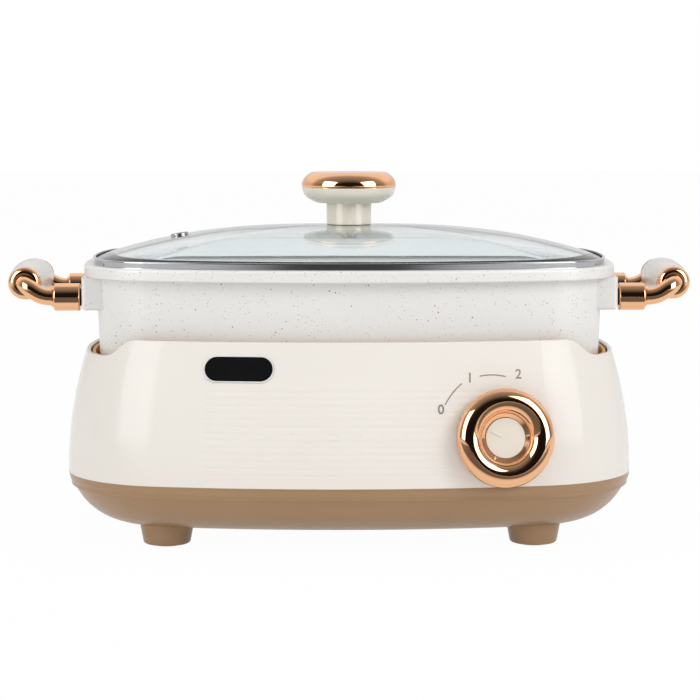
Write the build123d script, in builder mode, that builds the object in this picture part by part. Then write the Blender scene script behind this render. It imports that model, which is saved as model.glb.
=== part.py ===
"""Electric hot pot: a heating base with a turn dial, a lift-out pan and a loose glass lid.

Millimetres, +Z up, the front (dial side) towards -Y. The floor is z = 0, and the origin is the
middle of the whole outline on the floor. Every plan shape is a bowed rectangle with round corners.
"""
import os
from collections import namedtuple
from math import asin, atan2, cos, degrees, hypot, radians, sin, tan

from build123d import *

os.makedirs("parts", exist_ok=True)

# A plan is the bowed, round-cornered rectangle that one family of pieces follows: half the width,
# half the depth, and the radii of its front and back sides, its ends and its corners.
Plan = namedtuple("Plan", "half_w half_d side_r end_r corner_r")

# ---------------------------------------------------------------- driving dimensions: base
BODY = Plan(185.2, 122, 600, 300, 76)
SEAM_Z = 44.5
HOUSING_TOP_Z = 133.7
HOUSING_NOTCH_Z = 122.5
HOUSING_LEAN = 16.5
HOUSING_WALL = 3
SHOULDER_X = 134
NOTCH_X = 158
HOUSING_LIP_R = 1.2
RIB_PITCH = 4.3
RIB_COUNT = 13
RIB_TOP_Z = 103.5
RIB_HALF_LENGTH = 92
RIB_R = 5
RIB_DEPTH = 0.15

SHELL_WALL = 3
SHELL_BOTTOM_Z = 12.4
SHELL_RUN = 46
SHELL_BAND = 3.5
SHELL_SHOULDER_R = 9
SHELL_SIDE_RUN = 18
SHELL_BEND_R = 40
LIP_WALL = 1.6
LIP_BELOW = 8
LIP_ABOVE = 4

FOOT_X = 117.7
FOOT_Y = 64
FOOT_TOP_R = 18.2
FOOT_BOTTOM_R = 14.9
FOOT_EDGE_R = 2
FOOT_LIFT = 0.8
PAD_R = 10
PAD_HEIGHT = 3

LINER = Plan(169, 101.3, 560, 284, 60)
LINER_WALL = 2
LINER_FLOOR_WALL = 2.5
WELL_FLOOR_Z = 90.5
LINER_DROP = 1.5
REST_BOSS_R = 6
REST_BOSS_X = 118
REST_BOSS_Y = 48
POST_R = 4.5
POST_X = 92
POST_Y = 42
POST_BORE_DEPTH = 14
BASE_SCREW_GRIP = 10

# ---------------------------------------------------------------- driving dimensions: heater
TRAY_SHEET = 0.8
TRAY_LIP = 4
TRAY_INSET = 6
TRAY_SCREW_X = 132
TRAY_SCREW_Y = 20
TRAY_SCREW_LENGTH = 8
ELEMENT_R = 3.25
ELEMENT_X = 92
ELEMENT_Y = 50
ELEMENT_TURN_R = 28
ELEMENT_GAP_X = 13
ELEMENT_DROP_R = 9
ELEMENT_END_Z = 80.5
TERMINAL_R = 4
TERMINAL_LENGTH = 7
BLADE_WIDTH = 6.3
BLADE_THICK = 0.8
BLADE_LENGTH = 8
CLIP_WIDTH = 9
CLIP_SIDE = 3
SLEEVE_R = 11
SLEEVE_WALL = 1.5
SLEEVE_BELOW = 14
SENSOR_TRAVEL = 2
SPRING_WIRE_R = 0.6
SPRING_COILS = 5
FUSE_R = 2.6
FUSE_LENGTH = 22

# ---------------------------------------------------------------- driving dimensions: dial
DIAL_X = 94
DIAL_Z = 75.1
DIAL_R = 30.8
DIAL_OPENING_R = 15.2
DIAL_GAP = 0.8
SKIRT_R = 30
SKIRT_HEIGHT = 5
SKIRT_WALL = 3
SKIRT_WEB = 2
HUB_R = 6
KNURL_COUNT = 90
KNURL_R = 0.5
RING_RISE = 8
RING_SIDE = 1.5
DIAL_FACE_R = 12.5
DIAL_FACE_THICK = 1.5
DIAL_FACE_SINK = 1
POINTER_LENGTH = 8.7
POINTER_WIDTH = 1.5
POINTER_HEIGHT = 0.7
POINTER_INNER = 1.7
POINTER_ANGLE = 153
SPINDLE_R = 3
SPINDLE_CLEARANCE = 0.06
SPINDLE_GRIP = 9
THERMOSTAT_HALF = 11
THERMOSTAT_DEPTH = 16
BRACKET_THICK = 1.2
BRACKET_STANDOFF = 7
BRACKET_HALF_HEIGHT = 21
BRACKET_HALF_W = 12
BRACKET_SCREW_REACH = 17

# ---------------------------------------------------------------- driving dimensions: window
WINDOW_X = -69.8
WINDOW_Z = 117.5
WINDOW_LENGTH = 42.4
WINDOW_HEIGHT = 15.2
WINDOW_LIP = 0.9
WINDOW_PROUD = 0.5
WINDOW_FLANGE = 1.6
WINDOW_DEPTH = 5.3
LENS_THICK = 1.8
LENS_PROUD = 0.1
BOARD_THICK = 1.2
BOARD_DEPTH = 6
LAMP_R = 1.5

# ---------------------------------------------------------------- driving dimensions: inlet
INLET_Z = 66.5
INLET_WIDTH = 50
INLET_HEIGHT = 30
INLET_PROUD = 2
INLET_DEPTH = 22
INLET_WALL = 3
INLET_PIN_R = 2
INLET_PIN_PITCH = 13
INLET_PIN_TAIL = 5
INLET_PLATE_THICK = 3
INLET_PLATE_MARGIN = 4
INLET_SCREW_X = 30
INLET_FLANGE = 4
WIRE_R = 1.4
WIRE_BEND_R = 9
WIRE_RUN = 20

# ---------------------------------------------------------------- driving dimensions: pan
RIM = Plan(174, 106, 485, 265, 53)
RIM_TOP_Z = 178.1
RIM_BAND = 7.6
RIM_OVERHANG = 8
PAN_WALL = 3
PAN_TAPER = 2.2
PAN_BOTTOM_Z = 100.5
PAN_FLOOR_WALL = 4
PAN_BEND_R = 18
PAN_RUN = 26
RIM_EDGE_R = 2
LUG_OUT_X = 171.8
LUG_HALF_LENGTH = 56
LUG_BOTTOM_Z = 149.5
LUG_EDGE_R = 2.5

# ---------------------------------------------------------------- driving dimensions: handles
ARM_Y = 46
ARM_Z = 157.5
GASKET_R = 5.6
GASKET_THICK = 1.2
COLLAR_R = 8.85
COLLAR_LENGTH = 17
COLLAR_EDGE_R = 1.2
TUBE_R = 5.45
TUBE_STRAIGHT = 8
BEAD_R = 6.6
BEAD_WIDTH = 1.2
TUBE_BEND_R = 18
TUBE_TURN_R = 6.9
GRIP_X = 210
GRIP_Z = 165.9
GRIP_HALF_LENGTH = 36
GRIP_MID_R = 13.2
GRIP_END_R = 10.2
CUP_R = 10.6
CUP_DEPTH = 5.5
CUP_LIP = 2
ROD_R = 2
ROD_GRIP = 3
STUD_R = 3
STUD_GRIP = 9

# ---------------------------------------------------------------- driving dimensions: lid
LID_INSET = 5.8
LID_RIM_HEIGHT = 4.3
LID_RIM_SHEET = 0.8
LID_RIM_REACH = 6
LID_RIM_LAP = 1.9
GLASS_THICK = 3.2
GLASS_INSET = 1
GLASS_EDGE_WALL = 1.9
GLASS_RISE = 21.1
GLASS_POWER = 2.7
GLASS_STEPS = (1.0, 0.975, 0.95, 0.92, 0.885, 0.845, 0.8, 0.74, 0.67, 0.58, 0.47, 0.34, 0.19)
VENT_X = -112
VENT_HOLE_R = 4
VENT_FLANGE_R = 6
VENT_BORE_R = 2.6
VENT_FLANGE_THICK = 1.4
VENT_EDGE_R = 0.8

KNOB_SEAL_R = 14.2
KNOB_SEAL_THICK = 0.6
STEM_R = 14.8
STEM_HEIGHT = 14.1
DISH_HEIGHT = 10
CAP_HEIGHT = 10
KNOB_R = 30.9
DISH_FOOT_R = 22
# Points of the two turned outlines: how far in from the widest, and how far down or up from the
# seam between them as a share of the height.
DISH_STEPS = ((5.2, 0.8), (1.9, 0.54), (0.6, 0.3))
CAP_STEPS = ((-0.1, 0.27), (0.9, 0.53), (3.2, 0.8))
CAP_FLAT_R = 24.3
KNOB_SCREW_R = 2.5
KNOB_SCREW_STOP = 2.1
KNOB_WASHER_R = 8
KNOB_WASHER_THICK = 1.5
KNOB_HOLE_CLEARANCE = 0.6

# ---------------------------------------------------------------- fits
SEAT_GAP = 0.3
SLIDE_GAP = 0.15
SCREW_R = 1.6
SCREW_HEAD_R = 3.2
SCREW_HEAD_HEIGHT = 2.2

# ---------------------------------------------------------------- worked out from the above
HOUSING_RISE = HOUSING_TOP_Z - SEAM_Z
HOUSING_ARC_R = (HOUSING_RISE**2 + HOUSING_LEAN**2) / (2 * HOUSING_LEAN)
TRAY_TOP_Z = WELL_FLOOR_Z + TRAY_SHEET
ELEMENT_Z = PAN_BOTTOM_Z - SEAT_GAP - ELEMENT_R
LINER_UNDER_Z = WELL_FLOOR_Z - LINER_FLOOR_WALL
SENSOR_TOP_Z = PAN_BOTTOM_Z - SEAT_GAP
RIM_UNDER_Z = RIM_TOP_Z - RIM_BAND
COLLAR_X = LUG_OUT_X + GASKET_THICK
ARM_X = COLLAR_X + COLLAR_LENGTH
SHELL_FLOOR_Z = SHELL_BOTTOM_Z + SHELL_WALL


def lean_angle(z):
    """How far the housing wall leans back from upright at a height, in degrees."""
    return degrees(asin((z - SEAM_Z) / HOUSING_ARC_R))


def wall_inset(z):
    """How far the housing's outside lies inside the seam outline at a height."""
    return HOUSING_ARC_R * (1 - cos(radians(lean_angle(z))))


def side_bow(plan, x):
    """How far a bowed side falls back at a distance from its middle."""
    return plan.side_r - (plan.side_r**2 - x**2) ** 0.5


DIAL_HEIGHT = DIAL_GAP + SKIRT_HEIGHT + RING_RISE
DIAL_TURN = DIAL_X / BODY.side_r
FRONT_REACH = (
    BODY.half_d
    - wall_inset(DIAL_Z)
    - side_bow(BODY, DIAL_X)
    + DIAL_HEIGHT * cos(radians(lean_angle(DIAL_Z)))
    + (DIAL_R + DIAL_OPENING_R) / 2 * DIAL_TURN
)
BACK_REACH = BODY.half_d - wall_inset(INLET_Z) + INLET_PROUD + SCREW_HEAD_HEIGHT
# The pan's middle lies behind the origin, because the dial stands out in front.
POT_Y = (FRONT_REACH - BACK_REACH) / 2


def plan_line(plan, inset=0.0, growth=1.0):
    """Nine arcs round a plan, from the middle of its front side, inset or shrunk evenly."""
    half_w, half_d, side_r, end_r, corner_r = (growth * (size - inset) for size in plan)
    side_y = side_r - half_d
    end_x = end_r - half_w
    side_to_corner = side_r - corner_r
    end_to_corner = end_r - corner_r
    span = hypot(end_x, side_y)
    along = (side_to_corner**2 - end_to_corner**2 + span**2) / (2 * span)
    across = (side_to_corner**2 - along**2) ** 0.5
    corner_x = (across * side_y - along * end_x) / span
    corner_y = (along * side_y + across * end_x) / span - side_y
    first = degrees(atan2(-corner_y - side_y, corner_x))
    second = degrees(atan2(-corner_y, corner_x + end_x))
    turn = second - first
    arcs = (
        ((0, side_y), side_r, -90, 90 + first),
        ((corner_x, -corner_y), corner_r, first, turn),
        ((-end_x, 0), end_r, second, -2 * second),
        ((corner_x, corner_y), corner_r, -second, turn),
        ((0, -side_y), side_r, -first, 180 + 2 * first),
        ((-corner_x, corner_y), corner_r, 180 + first, turn),
        ((end_x, 0), end_r, 180 + second, -2 * second),
        ((-corner_x, -corner_y), corner_r, 180 - second, turn),
        ((0, side_y), side_r, 180 - first, 90 + first),
    )
    with BuildLine(mode=Mode.PRIVATE) as line:
        for (x, y), radius, start, size in arcs:
            CenterArc((x, POT_Y + y), radius, start, size)
    return line.line


def plan_face(plan, z, inset=0.0, growth=1.0):
    """The filled plan at a height."""
    outline = plan_line(plan, inset, growth)
    with BuildSketch(Plane.XY.offset(z), mode=Mode.PRIVATE) as sketch:
        with BuildLine():
            add(outline)
        make_face()
    return sketch.sketch


def plate(plan, z, thickness, inset=0.0, mode=Mode.ADD):
    """Add or cut a flat plate with the plan's outline, upwards from a height."""
    extrude(plan_face(plan, z, inset), amount=thickness, dir=(0, 0, 1), mode=mode)


def cross_section(plan):
    """Upright plane across the middle of the front side: x is outward, y is height."""
    return Plane(origin=(0, POT_Y - plan.half_d, 0), x_dir=(0, -1, 0), z_dir=(-1, 0, 0))


def corner(sketch, x, y):
    """The corner of a sketch nearest to a point."""
    return sketch.vertices().sort_by_distance((x, y))[0]


def wall_plane(x, z, back=False):
    """Plane that touches the housing's outside, facing straight out of its front or its back."""
    tilt = radians(lean_angle(z))
    turn = asin(x / BODY.side_r)
    reach = BODY.half_d - wall_inset(z) - side_bow(BODY, x)
    side = 1 if back else -1
    return Plane(
        origin=(x, POT_Y + side * reach, z),
        x_dir=(-side * cos(turn), sin(turn), 0),
        z_dir=(sin(turn) * cos(tilt), side * cos(turn) * cos(tilt), sin(tilt)),
    )


def axial_plane(plane):
    """Plane through another plane's middle, for turned pieces: x is radius, y is height."""
    return Plane(origin=plane.origin, x_dir=plane.x_dir, z_dir=-plane.y_dir)


def turn_about(plane):
    """Spin the waiting profile round a plane's middle."""
    revolve(axis=Axis(plane.origin, plane.z_dir))


def save(part, name):
    """Label a finished piece and write it as its own file."""
    part.label = name
    export_step(part, f"parts/{name}.step")


# ================================================================ base shell
side_top_z = SEAM_Z - SHELL_BAND
side_tilt = atan2(SHELL_SIDE_RUN, side_top_z - SHELL_BOTTOM_Z)
shoulder_lift = SHELL_WALL * tan(side_tilt / 2)
inner_corner_x = -SHELL_SIDE_RUN - SHELL_WALL * (1 - sin(side_tilt)) / cos(side_tilt)

with BuildPart() as base_shell:
    with BuildSketch(cross_section(BODY)) as shell_section:
        Polygon(
            (0, SEAM_Z),
            (0, side_top_z),
            (-SHELL_SIDE_RUN, SHELL_BOTTOM_Z),
            (-SHELL_RUN, SHELL_BOTTOM_Z),
            (-SHELL_RUN, SHELL_FLOOR_Z),
            (inner_corner_x, SHELL_FLOOR_Z),
            (-SHELL_WALL, side_top_z + shoulder_lift),
            (-SHELL_WALL, SEAM_Z),
            align=None,
        )
        fillet(corner(shell_section, 0, side_top_z), SHELL_SHOULDER_R)
        fillet(
            corner(shell_section, -SHELL_WALL, side_top_z + shoulder_lift), SHELL_SHOULDER_R - SHELL_WALL
        )
        fillet(corner(shell_section, -SHELL_SIDE_RUN, SHELL_BOTTOM_Z), SHELL_BEND_R)
        fillet(corner(shell_section, inner_corner_x, SHELL_FLOOR_Z), SHELL_BEND_R - SHELL_WALL)
    sweep(path=plan_line(BODY))
    plate(BODY, SHELL_BOTTOM_Z, SHELL_WALL, SHELL_RUN)
    # upstand that centres the housing, rooted in the shell's wall
    with BuildSketch(cross_section(BODY)):
        with Locations((-HOUSING_WALL / 2, SEAM_Z - LIP_BELOW)):
            Rectangle(
                HOUSING_WALL / 2 + SLIDE_GAP + LIP_WALL, LIP_BELOW, align=(Align.MAX, Align.MIN)
            )
        with Locations((-HOUSING_WALL - SLIDE_GAP, SEAM_Z - LIP_BELOW)):
            Rectangle(LIP_WALL, LIP_BELOW + LIP_ABOVE, align=(Align.MAX, Align.MIN))
    sweep(path=plan_line(BODY))
    # holes for the screws that hold the shell to the liner's posts
    with BuildSketch(Plane.XY.offset(SHELL_BOTTOM_Z)):
        with Locations((0, POT_Y)):
            with GridLocations(2 * POST_X, 2 * POST_Y, 2, 2):
                Circle(SCREW_R + SLIDE_GAP)
    extrude(amount=SHELL_WALL, mode=Mode.SUBTRACT)
save(base_shell.part, "base_shell")

# Filled outside of the shell, for shaping the feet.
with BuildPart() as shell_envelope:
    with BuildSketch(cross_section(BODY)) as envelope_section:
        Polygon(
            (0, SEAM_Z),
            (0, side_top_z),
            (-SHELL_SIDE_RUN, SHELL_BOTTOM_Z),
            (-SHELL_RUN, SHELL_BOTTOM_Z),
            (-SHELL_RUN, SEAM_Z),
            align=None,
        )
        fillet(corner(envelope_section, -SHELL_SIDE_RUN, SHELL_BOTTOM_Z), SHELL_BEND_R)
    sweep(path=plan_line(BODY))
    plate(BODY, SHELL_BOTTOM_Z, SEAM_Z - SHELL_BOTTOM_Z, SHELL_RUN)

# ================================================================ feet
for end, side_x in (("left", -1), ("right", 1)):
    for row, side_y in (("front", -1), ("back", 1)):
        middle = Plane(origin=(side_x * FOOT_X, POT_Y + side_y * FOOT_Y, 0))
        with BuildPart() as foot:
            with BuildSketch(middle.offset(FOOT_LIFT)):
                Circle(FOOT_BOTTOM_R)
            with BuildSketch(middle.offset(SHELL_FLOOR_Z + SHELL_WALL)):
                Circle(FOOT_TOP_R)
            loft()
            fillet(foot.edges().group_by(Axis.Z)[0], FOOT_EDGE_R)
            with BuildSketch(middle):
                Circle(PAD_R + SLIDE_GAP)
            extrude(amount=PAD_HEIGHT, mode=Mode.SUBTRACT)
            add(shell_envelope.part, mode=Mode.SUBTRACT)
        save(foot.part, f"foot_{row}_{end}")

with BuildPart() as foot_pads:
    with BuildSketch(Plane.XY):
        with Locations((0, POT_Y)):
            with GridLocations(2 * FOOT_X, 2 * FOOT_Y, 2, 2):
                Circle(PAD_R)
    extrude(amount=PAD_HEIGHT)
save(foot_pads.part, "foot_pads")

# ================================================================ housing
def skyline(drop):
    """The region above the housing's top edge, or above a line a little lower."""
    with BuildSketch(Plane.XZ.offset(-POT_Y), mode=Mode.PRIVATE) as region:
        with BuildLine():
            for side in (-1, 1):
                middle_x = side * (SHOULDER_X + NOTCH_X) / 2
                Bezier(
                    (side * SHOULDER_X, HOUSING_TOP_Z - drop),
                    (middle_x, HOUSING_TOP_Z - drop),
                    (middle_x, HOUSING_NOTCH_Z - drop),
                    (side * NOTCH_X, HOUSING_NOTCH_Z - drop),
                )
                Polyline(
                    (side * NOTCH_X, HOUSING_NOTCH_Z - drop),
                    (side * 2 * BODY.half_w, HOUSING_NOTCH_Z - drop),
                    (side * 2 * BODY.half_w, 2 * HOUSING_TOP_Z),
                )
            Line((-2 * BODY.half_w, 2 * HOUSING_TOP_Z), (2 * BODY.half_w, 2 * HOUSING_TOP_Z))
            Line((-SHOULDER_X, HOUSING_TOP_Z - drop), (SHOULDER_X, HOUSING_TOP_Z - drop))
        make_face()
    return region.sketch


groove_half_turn = degrees(asin(RIB_HALF_LENGTH / BODY.side_r))
groove_start = -90 - groove_half_turn
groove_path = CenterArc(
    (0, POT_Y + BODY.side_r - BODY.half_d), BODY.side_r, groove_start, 2 * groove_half_turn
)
groove_outward = Vector(cos(radians(groove_start)), sin(radians(groove_start)), 0)
groove_plane = Plane(
    origin=groove_path @ 0, x_dir=groove_outward, z_dir=groove_outward.cross(Vector(0, 0, 1))
)
dial_plane = wall_plane(DIAL_X, DIAL_Z)
window_plane = wall_plane(WINDOW_X, WINDOW_Z)
inlet_plane = wall_plane(0, INLET_Z, back=True)

with BuildPart() as housing:
    rise_angle = lean_angle(HOUSING_TOP_Z + 2 * HOUSING_WALL)
    with BuildSketch(cross_section(BODY)) as wall_section:
        with BuildLine():
            outside = CenterArc((-HOUSING_ARC_R, SEAM_Z), HOUSING_ARC_R, 0, rise_angle)
            inside = CenterArc(
                (-HOUSING_ARC_R, SEAM_Z), HOUSING_ARC_R - HOUSING_WALL, 0, rise_angle
            )
            Line(outside @ 0, inside @ 0)
            Line(outside @ 1, inside @ 1)
        make_face()
    sweep(path=plan_line(BODY))
    extrude(skyline(0), amount=2 * BODY.half_d, both=True, mode=Mode.SUBTRACT)
    top_edges = housing.edges().filter_by(lambda edge: edge.bounding_box().min.Z > HOUSING_NOTCH_Z - 1)
    fillet(top_edges, HOUSING_LIP_R)
    # fine grooves across the bowed front
    with BuildSketch(groove_plane):
        for groove in range(RIB_COUNT):
            angle = radians(lean_angle(RIB_TOP_Z)) - groove * RIB_PITCH / HOUSING_ARC_R
            groove_arc_r = HOUSING_ARC_R + RIB_R - RIB_DEPTH
            with Locations(
                (groove_arc_r * cos(angle) - HOUSING_ARC_R, SEAM_Z + groove_arc_r * sin(angle))
            ):
                Circle(RIB_R)
    sweep(path=groove_path, mode=Mode.SUBTRACT)
    # hole for the dial's spindle
    with BuildSketch(dial_plane.offset(-2 * HOUSING_WALL)):
        Circle(SPINDLE_R + 1)
    extrude(amount=4 * HOUSING_WALL, mode=Mode.SUBTRACT)
    # bosses that carry the thermostat's bracket
    with BuildSketch(dial_plane.offset(-BRACKET_STANDOFF)):
        with GridLocations(1, 2 * BRACKET_SCREW_REACH, 1, 2):
            Circle(SCREW_HEAD_R)
    extrude(amount=BRACKET_STANDOFF - HOUSING_WALL / 2)
    with BuildSketch(dial_plane.offset(-BRACKET_STANDOFF)):
        with GridLocations(1, 2 * BRACKET_SCREW_REACH, 1, 2):
            Circle(SCREW_R + SLIDE_GAP)
    extrude(amount=BRACKET_STANDOFF - HOUSING_WALL, mode=Mode.SUBTRACT)
    # window opening
    with BuildSketch(window_plane.offset(-2 * HOUSING_WALL)):
        SlotOverall(
            WINDOW_LENGTH + 2 * (WINDOW_LIP + SLIDE_GAP), WINDOW_HEIGHT + 2 * (WINDOW_LIP + SLIDE_GAP)
        )
    extrude(amount=4 * HOUSING_WALL, mode=Mode.SUBTRACT)
    # mains inlet opening and its two screw holes
    with BuildSketch(inlet_plane.offset(-3 * HOUSING_WALL)):
        Rectangle(INLET_WIDTH + 2 * SLIDE_GAP, INLET_HEIGHT + 2 * SLIDE_GAP)
        with GridLocations(2 * INLET_SCREW_X, 1, 2, 1):
            Circle(SCREW_R + SLIDE_GAP)
    extrude(amount=6 * HOUSING_WALL, mode=Mode.SUBTRACT)
save(housing.part, "housing")

# ================================================================ well liner and heater tray
with BuildPart() as well_liner:
    liner_height = HOUSING_TOP_Z - LINER_UNDER_Z
    plate(LINER, LINER_UNDER_Z, liner_height)
    plate(LINER, WELL_FLOOR_Z, liner_height, LINER_WALL, mode=Mode.SUBTRACT)
    extrude(skyline(LINER_DROP), amount=2 * BODY.half_d, both=True, mode=Mode.SUBTRACT)
    # four bosses that the pan rests on
    with BuildSketch(Plane.XY.offset(WELL_FLOOR_Z)):
        with Locations((0, POT_Y)):
            with GridLocations(2 * REST_BOSS_X, 2 * REST_BOSS_Y, 2, 2):
                Circle(REST_BOSS_R)
    extrude(amount=PAN_BOTTOM_Z - WELL_FLOOR_Z)
    # four posts that stand on the base shell and take its screws
    with BuildSketch(Plane.XY.offset(SHELL_FLOOR_Z)):
        with Locations((0, POT_Y)):
            with GridLocations(2 * POST_X, 2 * POST_Y, 2, 2):
                Circle(POST_R)
    extrude(amount=LINER_UNDER_Z - SHELL_FLOOR_Z)
    with BuildSketch(Plane.XY.offset(SHELL_FLOOR_Z)):
        with Locations((0, POT_Y)):
            with GridLocations(2 * POST_X, 2 * POST_Y, 2, 2):
                Circle(SCREW_R + SLIDE_GAP)
    extrude(amount=POST_BORE_DEPTH, mode=Mode.SUBTRACT)
    # openings in the floor: the sensor, the heater's two ends and the tray screws
    with BuildSketch(Plane.XY.offset(LINER_UNDER_Z)):
        with Locations((0, POT_Y)):
            Circle(SLEEVE_R + SLIDE_GAP)
            with Locations((-ELEMENT_GAP_X, ELEMENT_Y), (ELEMENT_GAP_X, ELEMENT_Y)):
                Circle(TERMINAL_R + 1)
            with GridLocations(2 * TRAY_SCREW_X, 2 * TRAY_SCREW_Y, 2, 2):
                Circle(SCREW_R + SLIDE_GAP)
    extrude(amount=LINER_FLOOR_WALL, mode=Mode.SUBTRACT)
save(well_liner.part, "well_liner")

with BuildPart() as heat_tray:
    tray_inset = LINER_WALL + TRAY_INSET
    plate(LINER, WELL_FLOOR_Z, TRAY_LIP, tray_inset)
    plate(LINER, TRAY_TOP_Z, TRAY_LIP, tray_inset + TRAY_SHEET, mode=Mode.SUBTRACT)
    with BuildSketch(Plane.XY.offset(WELL_FLOOR_Z)):
        with Locations((0, POT_Y)):
            Circle(SLEEVE_R + SLIDE_GAP)
            with Locations((-ELEMENT_GAP_X, ELEMENT_Y), (ELEMENT_GAP_X, ELEMENT_Y)):
                Circle(TERMINAL_R + 1)
            with GridLocations(2 * TRAY_SCREW_X, 2 * TRAY_SCREW_Y, 2, 2):
                Circle(SCREW_R + SLIDE_GAP)
            with GridLocations(2 * REST_BOSS_X, 2 * REST_BOSS_Y, 2, 2):
                Circle(REST_BOSS_R + SEAT_GAP)
    extrude(amount=TRAY_SHEET, mode=Mode.SUBTRACT)
save(heat_tray.part, "heat_tray")


def screw(plane, length, head_r=SCREW_HEAD_R):
    """Pan-head screw: its head stands on a plane and its shank goes down from it."""
    with BuildPart(mode=Mode.PRIVATE) as piece:
        with BuildSketch(plane):
            Circle(head_r)
        extrude(amount=SCREW_HEAD_HEIGHT)
        fillet(piece.edges().sort_by(Axis(plane.origin, plane.z_dir))[-1:], SCREW_HEAD_HEIGHT / 2)
        with BuildSketch(plane):
            Circle(SCREW_R)
        extrude(amount=-length)
    return piece.part


def four_screws(name, half_x, half_y, head_z, length, upwards):
    """Four like screws round the pan's middle, with heads above or below a level."""
    facing = 1 if upwards else -1
    pieces = [
        screw(Plane(origin=(x, POT_Y + y, head_z), z_dir=(0, 0, facing)), length)
        for x in (-half_x, half_x)
        for y in (-half_y, half_y)
    ]
    save(Compound(pieces), name)


four_screws("tray_screws", TRAY_SCREW_X, TRAY_SCREW_Y, TRAY_TOP_Z, TRAY_SCREW_LENGTH, upwards=True)
four_screws(
    "base_screws", POST_X, POST_Y, SHELL_BOTTOM_Z, SHELL_WALL + BASE_SCREW_GRIP, upwards=False
)

# ================================================================ heater
element_y = POT_Y + ELEMENT_Y
with BuildLine() as element_line:
    FilletPolyline(
        (-ELEMENT_GAP_X, element_y, ELEMENT_END_Z),
        (-ELEMENT_GAP_X, element_y, ELEMENT_Z),
        (-ELEMENT_X, element_y, ELEMENT_Z),
        (-ELEMENT_X, POT_Y - ELEMENT_Y, ELEMENT_Z),
        (ELEMENT_X, POT_Y - ELEMENT_Y, ELEMENT_Z),
        (ELEMENT_X, element_y, ELEMENT_Z),
        (ELEMENT_GAP_X, element_y, ELEMENT_Z),
        (ELEMENT_GAP_X, element_y, ELEMENT_END_Z),
        radius=[ELEMENT_DROP_R] + 4 * [ELEMENT_TURN_R] + [ELEMENT_DROP_R],
    )
with BuildPart() as heating_element:
    with BuildSketch(Plane.XY.offset(ELEMENT_END_Z)):
        with Locations((-ELEMENT_GAP_X, element_y)):
            Circle(ELEMENT_R)
    sweep(path=element_line.line)
save(heating_element.part, "heating_element")

with BuildPart() as element_terminals:
    with BuildSketch(Plane.XY.offset(ELEMENT_END_Z - TERMINAL_LENGTH)):
        with Locations((0, element_y)):
            with GridLocations(2 * ELEMENT_GAP_X, 1, 2, 1):
                Circle(TERMINAL_R)
    extrude(amount=TERMINAL_LENGTH)
    with BuildSketch(Plane.XY.offset(ELEMENT_END_Z - TERMINAL_LENGTH - BLADE_LENGTH)):
        with Locations((0, element_y)):
            with GridLocations(2 * ELEMENT_GAP_X, 1, 2, 1):
                Rectangle(BLADE_WIDTH, BLADE_THICK)
    extrude(amount=BLADE_LENGTH)
save(element_terminals.part, "element_terminals")

with BuildPart() as element_clips:
    with BuildSketch(Plane.XY.offset(TRAY_TOP_Z)):
        with Locations((0, POT_Y)):
            with GridLocations(ELEMENT_X, 2 * ELEMENT_Y, 2, 2):
                Rectangle(CLIP_WIDTH, 2 * (ELEMENT_R + CLIP_SIDE))
    extrude(amount=ELEMENT_Z - TRAY_TOP_Z)
    with BuildSketch(Plane.YZ.offset(-ELEMENT_X)):
        with Locations((POT_Y - ELEMENT_Y, ELEMENT_Z), (element_y, ELEMENT_Z)):
            Circle(ELEMENT_R + SLIDE_GAP)
    extrude(amount=2 * ELEMENT_X, mode=Mode.SUBTRACT)
save(element_clips.part, "element_clips")

with BuildPart() as thermal_fuse:
    fuse_plane = Plane(origin=(ELEMENT_X / 2, POT_Y, TRAY_TOP_Z + FUSE_R + SLIDE_GAP), z_dir=(1, 0, 0))
    with BuildSketch(fuse_plane):
        Circle(FUSE_R)
    extrude(amount=FUSE_LENGTH / 2, both=True)
    with BuildSketch(Plane.XY.offset(TRAY_TOP_Z)):
        with Locations((ELEMENT_X / 2, POT_Y)):
            Rectangle(CLIP_WIDTH, 2 * FUSE_R + CLIP_SIDE)
    extrude(amount=FUSE_R)
save(thermal_fuse.part, "thermal_fuse")

# ================================================================ sprung pan sensor
SLEEVE_BOTTOM_Z = LINER_UNDER_Z - SLEEVE_BELOW
SENSOR_R = SLEEVE_R - SLEEVE_WALL - SEAT_GAP
pan_middle = Plane(origin=(0, POT_Y, 0))

with BuildPart() as sensor_sleeve:
    with BuildSketch(pan_middle.offset(SLEEVE_BOTTOM_Z)):
        Circle(SLEEVE_R)
    extrude(amount=SENSOR_TOP_Z - 2 * SENSOR_TRAVEL - SLEEVE_BOTTOM_Z)
    with BuildSketch(pan_middle.offset(SLEEVE_BOTTOM_Z + SLEEVE_WALL)):
        Circle(SLEEVE_R - SLEEVE_WALL)
    extrude(amount=SENSOR_TOP_Z - SLEEVE_BOTTOM_Z, mode=Mode.SUBTRACT)
save(sensor_sleeve.part, "sensor_sleeve")

with BuildPart() as sensor_cap:
    with BuildSketch(pan_middle.offset(LINER_UNDER_Z)):
        Circle(SENSOR_R)
    extrude(amount=SENSOR_TOP_Z - LINER_UNDER_Z)
    with BuildSketch(pan_middle.offset(LINER_UNDER_Z)):
        Circle(SENSOR_R - SLEEVE_WALL)
    extrude(amount=SENSOR_TOP_Z - LINER_UNDER_Z - SLEEVE_WALL, mode=Mode.SUBTRACT)
save(sensor_cap.part, "sensor_cap")

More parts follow.
